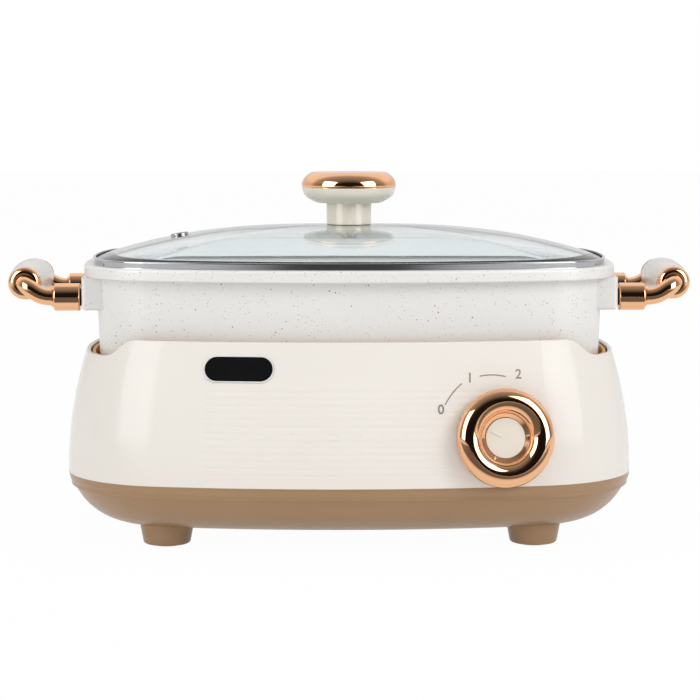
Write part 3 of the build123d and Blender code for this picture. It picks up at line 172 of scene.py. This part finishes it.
# ---- housing
# One tall cream cover, moulded in high-gloss plastic and set over the shell's upstand.
# Its front carries fine cross grooves, and its back the mains inlet.
cream_gloss = Finish(
    "cream_gloss", Roughness=0.16, Specular_IOR_Level=0.15, Coat_Weight=0.1, Coat_Roughness=0.03
)
cream_gloss.colours(9.0, tint(237, 231, 223), tint(241, 236, 229))
cream_gloss.feed("Roughness", cream_gloss.noise(90.0) * 0.06 + 0.13)
cream_gloss.relief(cream_gloss.noise(60.0), 0.00001)
cream_gloss.on("housing")

# ---- well liner
# The heat-resistant tub inside the housing, moulded in a warm orange-brown, left unpolished,
# and screwed down with the tray. Its rim shows in the notches where the pan's lugs come down.
liner = Finish("liner_brown", Roughness=0.5)
liner.colours(22.0, tint(228, 168, 86), tint(238, 182, 102))
liner.relief(liner.noise(900.0, 3.0), 0.00006)
liner.on("well_liner")

# ---- heater tray and heater
# A pressed aluminium tray reflects the heat of a bent steel tube, held in clips.
# A sprung aluminium cap stands in the middle in a steel sleeve and feels the pan's floor.
tray = Finish("bright_tray", Metallic=1.0, Roughness=0.3)
tray.colours(30.0, tint(205, 205, 207), tint(222, 222, 223))
tray.feed("Roughness", tray.noise(160.0) * 0.2 + 0.25)
tray.relief(tray.noise(500.0), 0.00004)
tray.on("heat_tray", "sensor_cap")

heater_steel = Finish("heater_steel", Metallic=1.0, Roughness=0.42)
heater_steel.colours(45.0, tint(120, 112, 104), tint(165, 160, 155))
heater_steel.relief(heater_steel.noise(1200.0), 0.00003)
heater_steel.on("heating_element")

plain_steel = Finish("plain_steel", Metallic=1.0, Roughness=0.28)
plain_steel.colours(70.0, tint(168, 168, 170), tint(196, 196, 198))
plain_steel.feed("Roughness", plain_steel.noise(700.0) * 0.15 + 0.2)
plain_steel.relief(plain_steel.noise(1800.0), 0.00002)
plain_steel.on("base_screws", "tray_screws", "element_terminals", "element_clips")
plain_steel.on("sensor_sleeve", "sensor_spring")

fuse = Finish("fuse_body", Roughness=0.6)
fuse.colours(300.0, tint(216, 208, 190), tint(232, 226, 212))
fuse.relief(fuse.noise(1500.0), 0.00003)
fuse.on("thermal_fuse")

# ---- inlet, thermostat and wires
# Black heat-resistant moulding round three brass pins, screwed to the back by a steel plate.
# Leads in silicone sleeves run from it to the heater past a thermostat on a steel bracket.
black_moulding = Finish("black_moulding", Roughness=0.35, Coat_Weight=0.2)
black_moulding.colours(80.0, tint(20, 20, 21), tint(32, 32, 33))
black_moulding.relief(black_moulding.noise(1500.0, 3.0), 0.00005)
black_moulding.on("inlet_socket", "thermostat")
plain_steel.on("inlet_plate", "inlet_screws", "thermostat_bracket", "bracket_screws")

pin_brass = Finish("pin_brass", Metallic=1.0, Roughness=0.22)
pin_brass.colours(120.0, tint(206, 176, 108), tint(222, 196, 132))
pin_brass.on("inlet_pins")

sleeve = Finish("wire_sleeve", Roughness=0.55)
sleeve.colours(200.0, tint(206, 204, 196), tint(220, 218, 210))
sleeve.on("lead_wires")

# ---- window
# A glossy black lens snapped into a thin white bezel in the housing's front.
# A small green circuit board behind it carries the pilot lamp.
lens = Finish("window_lens", Roughness=0.06, Coat_Weight=1.0, Coat_Roughness=0.02)
lens.colours(40.0, tint(18, 18, 19), tint(26, 26, 27))
lens.on("window_lens")

bezel = Finish("white_bezel", Roughness=0.25, Coat_Weight=0.4)
bezel.colours(60.0, tint(236, 233, 228), tint(244, 242, 238))
bezel.on("window_bezel")

board = Finish("lamp_board", Roughness=0.5)
board.colours(200.0, tint(28, 84, 44), tint(38, 98, 54))
board.on("lamp_board")

# ---- dial
# A thick ring and a knurled skirt, both plated in copper-toned chrome, round a cream face
# with a white pointer. A steel spindle takes it through the housing to the thermostat.
rose_chrome = Finish("rose_chrome", Metallic=1.0, Roughness=0.07)
rose_chrome.colours(18.0, tint(241, 183, 138), tint(247, 194, 151))
rose_chrome.feed("Roughness", rose_chrome.noise(350.0) * 0.05 + 0.045)
rose_chrome.on("dial_ring", "dial_skirt")

dial_cream = Finish("dial_cream", Roughness=0.25, Coat_Weight=0.2)
dial_cream.colours(60.0, tint(238, 229, 215), tint(243, 235, 222))
dial_cream.relief(dial_cream.noise(400.0), 0.00001)
dial_cream.on("dial_face")
bezel.on("dial_pointer")
plain_steel.on("dial_spindle")

# ---- printed scale
# Three numbers and two thin arcs round the dial show the turn towards more heat.
# They are grey ink, pad-printed straight onto the housing's bowed front.
POT_Y = (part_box("pan")[0][1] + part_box("pan")[1][1]) / 2
HOUSING_ARC = 0.24936
SIDE_CURVE = 0.6
HALF_DEPTH = 0.122
SEAM = 0.0445
DIAL_X, DIAL_Z = 0.094, 0.0751
INK_LIFT = 0.00004
NUMBER_HEIGHT = 0.0082
NUMBER_WEIGHT = 0.00012
NUMBERS = (("0", -0.0388, 0.0178), ("1", -0.0206, 0.0367), ("2", 0.0099, 0.0384))
ARCS = ((150, 127.5, 0.0418, 0.0423), (111, 87, 0.0405, 0.0373))
ARC_HALF_WIDTH = 0.00038
ARC_STEPS = 24


def wall_point(x, z):
    """A point just outside the housing's bowed front."""
    inset = HOUSING_ARC - sqrt(HOUSING_ARC**2 - (z - SEAM) ** 2)
    y = POT_Y + SIDE_CURVE - HALF_DEPTH - sqrt((SIDE_CURVE - inset + INK_LIFT) ** 2 - x**2)
    return (x, y, z)


ink = Finish("grey_print", Roughness=0.45)
ink.colours(900.0, tint(134, 126, 118), tint(148, 140, 132))
marks = bmesh.new()
for number, along, up in NUMBERS:
    letters = bpy.data.curves.new("number_" + number, "FONT")
    letters.body = number
    letters.size = NUMBER_HEIGHT
    letters.offset = NUMBER_WEIGHT
    letters.align_x = "CENTER"
    letters.align_y = "CENTER"
    holder = bpy.data.objects.new("number_" + number, letters)
    bpy.context.scene.collection.objects.link(holder)
    bpy.context.view_layer.update()
    flat = bpy.data.meshes.new_from_object(holder)
    for point in flat.vertices:
        point.co = wall_point(DIAL_X + along + point.co.x, DIAL_Z + up + point.co.y)
    marks.from_mesh(flat)
    bpy.data.objects.remove(holder)
    bpy.data.meshes.remove(flat)
for start, end, reach_start, reach_end in ARCS:
    strip = []
    for step in range(ARC_STEPS + 1):
        share = step / ARC_STEPS
        angle = radians(start + (end - start) * share)
        reach = reach_start + (reach_end - reach_start) * share
        pair = []
        for side in (-ARC_HALF_WIDTH, ARC_HALF_WIDTH):
            x = DIAL_X + (reach + side) * cos(angle)
            z = DIAL_Z + (reach + side) * sin(angle)
            pair.append(marks.verts.new(wall_point(x, z)))
        strip.append(pair)
    for before, after in zip(strip, strip[1:]):
        marks.faces.new((before[0], before[1], after[1], after[0]))
bmesh.ops.recalc_face_normals(marks, faces=marks.faces)
mark_mesh = bpy.data.meshes.new("dial_marks")
marks.to_mesh(mark_mesh)
marks.free()
mark_mesh.materials.append(ink.material)
dial_marks = bpy.data.objects.new("dial_marks", mark_mesh)
bpy.context.scene.collection.objects.link(dial_marks)
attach(dial_marks, "base")

# ---- pan
# Cast aluminium with a lug for the handle at each end.
# It is sprayed white inside and out, over which fine red-brown flecks are spattered.
SMALLEST_FLECK = 0.06
pan_coat = Finish("pan_coat", Roughness=0.34, Coat_Weight=0.25, Coat_Roughness=0.15)


def flecks(finish, spacing, size, kept):
    """A mask of small round flecks: one cell in a few holds one."""
    cell = finish.node(
        "ShaderNodeTexVoronoi", {"feature": "F1"}, {"Vector": finish.place, "Scale": 1 / spacing}
    )
    lot = Signal(finish, cell.socket.node.outputs["Color"])
    pick = finish.node("ShaderNodeSeparateColor", {}, {0: lot})
    size_pick = finish.node("ShaderNodeSeparateColor", {}, {0: lot}, out=1)
    return (cell < size_pick * size + SMALLEST_FLECK) * (pick < kept)


ground = pan_coat.between(pan_coat.noise(12.0), tint(233, 232, 229), tint(239, 238, 236))
small = flecks(pan_coat, 0.0018, 0.14, 0.65)
large = flecks(pan_coat, 0.0034, 0.08, 0.45)
speckled = pan_coat.between(small * 0.8, ground, tint(188, 114, 104))
pan_coat.feed("Base Color", pan_coat.between(large * 0.9, speckled, tint(158, 58, 56)))
pan_coat.feed("Roughness", pan_coat.noise(500.0) * 0.12 + 0.28)
pan_coat.relief(pan_coat.noise(1600.0, 4.0) + small * 0.3 + large * 0.4, 0.00003)
pan_coat.on("pan")

# ---- handles
# Plated collars and elbows, bolted over rubber gaskets to the lugs at the pan's ends.
# A steel rod from elbow to elbow clamps each thick frosted grip.
for row in ("front", "back"):
    for end in ("left", "right"):
        rose_chrome.on(f"collar_{row}_{end}", f"elbow_{row}_{end}")
pad_rubber.on("handle_gaskets")
plain_steel.on("handle_studs", "tie_rod_left", "tie_rod_right")

frosted = Finish(
    "frosted_grip", Roughness=0.28, Coat_Weight=0.5, Coat_Roughness=0.06, Subsurface_Weight=0.5,
    Subsurface_Scale=0.008,
)
frosted.colours(25.0, tint(218, 214, 208), tint(226, 222, 216))
frosted.relief(frosted.noise(260.0), 0.00003)
frosted.on("grip_left", "grip_right")

# ---- lid rim
# A band of thin polished steel, folded round the edge of the glass and crimped.
# It is what the lid rests on, loose in the pan's rim.
polished = Finish("polished_band", Metallic=1.0, Roughness=0.07)
polished.colours(30.0, tint(178, 180, 182), tint(196, 198, 200))
polished.feed("Roughness", polished.noise(600.0) * 0.06 + 0.05)
polished.on("lid_rim")

# ---- lid glass
# A toughened pane, bent hot over a mould into a low dome that falls towards a flat edge.
# It is clear but for the faint grey-green of its iron.
GLASS_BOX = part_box("lid_glass")
GLASS_HALF_W = (GLASS_BOX[1][0] - GLASS_BOX[0][0]) / 2
GLASS_HALF_D = (GLASS_BOX[1][1] - GLASS_BOX[0][1]) / 2
GLASS_SIDE, GLASS_END, GLASS_CORNER = 0.4782, 0.2582, 0.0462
GLASS_THICK = 0.0032
GLASS_BASE = GLASS_BOX[0][2]
GLASS_EDGE = 0.0019
GLASS_RISE = 0.0211
GLASS_POWER = 2.7
EDGE_ROUND = 0.0003
EDGE_SHARE = 0.9985
AROUND = 240
OUTER_STEPS = 30
INNER_STEPS = 26


def bowed_outline(half_w, half_d, side_r, end_r, corner_r, count):
    """Points round a bowed rectangle with round corners, evenly spread by angle."""
    side_y = side_r - half_d
    end_x = end_r - half_w
    span = hypot(end_x, side_y)
    side_gap = side_r - corner_r
    end_gap = end_r - corner_r
    along = (side_gap**2 - end_gap**2 + span**2) / (2 * span)
    across = sqrt(side_gap**2 - along**2)
    corner_x = (across * side_y - along * end_x) / span
    corner_y = (along * side_y + across * end_x) / span - side_y
    points = []
    for step in range(count):
        angle = 2 * pi * (step + 0.5) / count
        away = Vector((abs(cos(angle)), abs(sin(angle))))
        reach = []
        for centre, radius in (((0, -side_y), side_r), ((-end_x, 0), end_r)):
            middle = Vector(centre)
            lean = away.dot(middle)
            reach.append(lean + sqrt(lean**2 - middle.length_squared + radius**2))
        middle = Vector((corner_x, corner_y))
        lean = away.dot(middle)
        inside = lean**2 - middle.length_squared + corner_r**2
        first_touch = atan2(corner_y + side_y, corner_x)
        second_touch = atan2(corner_y, corner_x + end_x)
        side_end = Vector((side_r * cos(first_touch), side_r * sin(first_touch) - side_y))
        end_end = Vector((end_r * cos(second_touch) - end_x, end_r * sin(second_touch)))
        turn = atan2(away.y, away.x)
        if turn >= atan2(side_end.y, side_end.x):
            length = reach[0]
        elif turn <= atan2(end_end.y, end_end.x):
            length = reach[1]
        else:
            length = lean + sqrt(inside)
        points.append((length * cos(angle), length * sin(angle)))
    return points


glass = Finish(
    "lid_glass", Roughness=0.0, IOR=1.5, Transmission_Weight=1.0, Base_Color=tint(240, 245, 246)
)
glass.relief(glass.noise(25.0), 0.00002)
clear = glass.node("ShaderNodeBsdfTransparent", {}, {"Color": tint(240, 244, 244)})
shading = glass.node("ShaderNodeLightPath", out="Is Shadow Ray")
scattered = glass.node("ShaderNodeLightPath", out="Is Diffuse Ray")
pane_skin = Signal(glass, glass.skin.outputs[0])
glass.wear(glass.node("ShaderNodeMixShader", {}, {0: shading + scattered, 1: pane_skin, 2: clear}))
outline = bowed_outline(
    GLASS_HALF_W, GLASS_HALF_D, GLASS_SIDE, GLASS_END, GLASS_CORNER, AROUND
)
edge_top = GLASS_BASE + GLASS_EDGE


def dome_height(share):
    """Height of the upper face at a share of the way from the middle to the edge."""
    return edge_top + GLASS_RISE * (1 - share**GLASS_POWER)


def ring_shares(steps):
    """Shares of the way out, from the edge inwards and closer together at the edge."""
    return [1 - 0.985 * (step / steps) ** 0.85 for step in range(steps + 1)]


# Rings of the pane as shares of the way out and heights: under face, edge, upper face.
inner_start = (1 - (GLASS_THICK - GLASS_EDGE) / GLASS_RISE) ** (1 / GLASS_POWER)
levels = []
for share in reversed(ring_shares(INNER_STEPS)):
    levels.append((inner_start * share, dome_height(inner_start * share) - GLASS_THICK))
levels.append((EDGE_SHARE, GLASS_BASE))
levels.append((1.0, GLASS_BASE + EDGE_ROUND))
levels.append((1.0, edge_top - EDGE_ROUND))
levels.append((EDGE_SHARE, dome_height(EDGE_SHARE)))
for share in ring_shares(OUTER_STEPS)[1:]:
    levels.append((share, dome_height(share)))
points = []
for share, height in levels:
    points.extend((x * share, POT_Y + y * share, height) for x, y in outline)
faces = []
for level in range(len(levels) - 1):
    for step in range(AROUND):
        after = (step + 1) % AROUND
        low = level * AROUND
        high = low + AROUND
        faces.append((low + step, low + after, high + after, high + step))
points.append((0, POT_Y, dome_height(0) - GLASS_THICK))
points.append((0, POT_Y, dome_height(0)))
under, over = len(points) - 2, len(points) - 1
top_ring = (len(levels) - 1) * AROUND
for step in range(AROUND):
    after = (step + 1) % AROUND
    faces.append((under, after, step))
    faces.append((over, top_ring + step, top_ring + after))
pane_mesh = bpy.data.meshes.new("lid_pane")
pane_mesh.from_pydata(points, [], faces)
pane_mesh.update()
pane_mesh.materials.append(glass.material)
for face in pane_mesh.polygons:
    face.use_smooth = True
pane = bpy.data.objects.new("lid_pane", pane_mesh)
bpy.context.scene.collection.objects.link(pane)
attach(pane, "lid")
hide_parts("lid_glass")

# ---- steam vent and knob
# A small steel eyelet lets steam out through the pane. The knob is a cream moulding with a
# plated cap, drawn down on a seal by one screw and washer from under the glass.
vent = Finish("vent_steel", Metallic=1.0, Roughness=0.18)
vent.colours(200.0, tint(150, 150, 152), tint(186, 186, 188))
vent.on("steam_vent")

# The knob's cream is painted lighter than the housing's. This is painted light, making up for
# light the lamps don't bring under its dish; its warmer tone is its own.
knob_cream_painted_light = Finish("knob_cream_painted_light", Roughness=0.16, Coat_Weight=0.3, Coat_Roughness=0.03)
knob_cream_painted_light.colours(30.0, tint(247, 238, 222), tint(250, 242, 228))
knob_cream_painted_light.relief(knob_cream_painted_light.noise(300.0), 0.00002)
knob_cream_painted_light.on("knob_body")
rose_chrome.on("knob_cap")
plain_steel.on("knob_washer", "knob_screw")

seal = Finish("knob_seal", Roughness=0.6)
seal.colours(200.0, tint(140, 134, 120), tint(156, 150, 136))
seal.relief(seal.noise(1500.0), 0.00003)
seal.on("knob_seal")

# ---- floor
# A white table top. Polished metal sees it painted dark right in front of the pot, a painted
# shade, and glowing beside it, a painted light, as a studio table looks when the room before it is
# kept dark.
FRONT_EDGE, FRONT_LIT = -0.24, -0.17
SIDE_EDGE, SIDE_LIT = 0.5, 1.3
SEEN_GLOW = 0.975
MIRRORED_GLOW = 0.7
floor_paint = Finish("white_floor", Roughness=0.9)
sideways = floor_paint.node("ShaderNodeSeparateXYZ", {}, {0: floor_paint.place}, out="X")
along = floor_paint.node("ShaderNodeSeparateXYZ", {}, {0: floor_paint.place}, out="Y")
span = floor_paint.node("ShaderNodeMath", {"operation": "ABSOLUTE"}, {0: sideways})
beside = floor_paint.node(
    "ShaderNodeMapRange", {}, {"Value": span, "From Min": SIDE_EDGE, "From Max": SIDE_LIT}
)
behind_edge = floor_paint.node(
    "ShaderNodeMapRange", {}, {"Value": along, "From Min": FRONT_EDGE, "From Max": FRONT_LIT}
)
lit = floor_paint.node("ShaderNodeMath", {"operation": "MAXIMUM"}, {0: behind_edge, 1: beside})
seen = floor_paint.node("ShaderNodeLightPath", out="Is Camera Ray")
through = floor_paint.node("ShaderNodeLightPath", out="Is Transmission Ray")
mirrored = floor_paint.node("ShaderNodeLightPath", out="Is Glossy Ray") * (1 - through)
# Painted shade: for polished metal the floor takes a dark colour in front of the pot.
bright = lit * mirrored + (1 - mirrored)
floor_paint.feed(
    "Base Color", floor_paint.between(bright, (0.12, 0.12, 0.12, 1.0), (0.92, 0.92, 0.92, 1.0))
)
glow = floor_paint.node("ShaderNodeEmission", {}, {"Color": (1, 1, 1, 1), "Strength": 1.0})
matt = Signal(floor_paint, floor_paint.skin.outputs[0])
# Painted light: for polished metal the floor glows beside the pot.
glowing = (seen + through) * SEEN_GLOW + mirrored * lit * MIRRORED_GLOW
floor_paint.wear(floor_paint.node("ShaderNodeMixShader", {}, {0: glowing, 1: matt, 2: glow}))
table_top = bpy.data.meshes.new("floor")
table_top.from_pydata([(-9, -9, 0), (9, -9, 0), (9, 9, 0), (-9, 9, 0)], [], [(0, 1, 2, 3)])
table_top.materials.append(floor_paint.material)
floor = bpy.data.objects.new("floor", table_top)
bpy.context.scene.collection.objects.link(floor)

# ---- studio
# White all round, and for polished metal dark in front, where the room is left unlit, and
# bright behind the table.
FILL = 0.5
VEIL_LOW, VEIL_HIGH = 0.2, 0.45
studio = bpy.data.worlds.new("studio")
bpy.context.scene.world = studio
studio.use_nodes = True


class Sky(Finish):
    """The studio round the table: the same patterns, feeding the world's background."""

    def __init__(self, world):
        self.tree = world.node_tree


sky = Sky(studio)
heading = sky.node("ShaderNodeTexCoord", out="Generated")
across = sky.node("ShaderNodeSeparateXYZ", {}, {0: heading}, out="Y")
turned = sky.node("ShaderNodeMapRange", {}, {"Value": across, "From Min": -1.0, "From Max": 1.0})
fades = ((0.0, 0.012), (0.09, 0.012), (0.2, 0.15), (0.3, 0.25), (0.525, 0.42), (0.675, 1.0))
stops = [(position, (light, light, light, 1.0)) for position, light in fades]
behind = sky.node("ShaderNodeValToRGB", {"stops": stops}, {0: turned})
rise = sky.node("ShaderNodeSeparateXYZ", {}, {0: heading}, out="Z")
veil = sky.node(
    "ShaderNodeMapRange",
    {},
    {"Value": rise, "From Min": VEIL_LOW, "From Max": VEIL_HIGH, "To Min": 0.75, "To Max": 1.0},
)
seen = sky.node("ShaderNodeLightPath", out="Is Camera Ray")
through = sky.node("ShaderNodeLightPath", out="Is Transmission Ray")
mirrored = sky.node("ShaderNodeLightPath", out="Is Glossy Ray") * (1 - through)
fill = FILL * (1 - seen) * (1 - through) * (1 - mirrored)
level = fill + mirrored * behind * veil + through + seen
backdrop = studio.node_tree.nodes["Background"]
backdrop.inputs["Color"].default_value = (1, 1, 1, 1)
studio.node_tree.links.new(level.socket, backdrop.inputs["Strength"])


# ---- lamps
# Soft boxes on stands: one at each front corner, one overhead and a weak one in front.
# The two cards stand just before the corner lamps, and only polished surfaces see them.
MIDDLE = (0, 0, 0.12)


def soft_lamp(name, place, target, width, height, power, mirrored=True, lighting=True):
    """Rectangular soft lamp that looks at a point and isn't seen itself."""
    light = bpy.data.lights.new(name, "AREA")
    light.shape = "RECTANGLE"
    light.size = width
    light.size_y = height
    light.energy = power
    lamp = bpy.data.objects.new(name, light)
    lamp.location = place
    lamp.rotation_euler = (Vector(target) - Vector(place)).to_track_quat("-Z", "Y").to_euler()
    lamp.visible_camera = False
    lamp.visible_glossy = mirrored
    lamp.visible_diffuse = lighting
    bpy.context.scene.collection.objects.link(lamp)


soft_lamp("lamp_left", (-1.22, -0.95, 0.75), MIDDLE, 1.05, 1.4, 7.2, mirrored=False)
soft_lamp("lamp_right", (1.15, -1.05, 1.0), MIDDLE, 0.6, 0.8, 9.6, mirrored=False)
soft_lamp("card_left", (-1.16, -0.9, 0.72), MIDDLE, 0.9, 1.3, 15, lighting=False)
soft_lamp("card_right", (1.16, -0.9, 0.72), MIDDLE, 0.9, 1.3, 15, lighting=False)
soft_lamp("lamp_top", (0, 0.1, 1.7), (0, 0, 0.1), 1.6, 1.2, 5.2, mirrored=False)
soft_lamp("lamp_front", (0, -1.9, 0.9), (0, 0, 0.15), 1.6, 1.0, 0.7, mirrored=False)

# ---- camera
# A long lens a metre and a half in front of the pot and a little above it.
# It looks down by a few degrees.
CAMERA_X, CAMERA_AWAY, CAMERA_Z = -0.0225, 1.5093, 0.2773
LOOK_DOWN, LOOK_RIGHT = 6.021, 0.883
lens_view = bpy.data.cameras.new("camera")
lens_view.sensor_width = 36
lens_view.lens = 117.2
camera = bpy.data.objects.new("camera", lens_view)
camera.location = (CAMERA_X, POT_Y - CAMERA_AWAY, CAMERA_Z)
camera.rotation_euler = (radians(90 - LOOK_DOWN), 0, radians(-LOOK_RIGHT))
bpy.context.scene.collection.objects.link(camera)
bpy.context.scene.camera = camera
bpy.context.scene.view_settings.view_transform = "Standard"
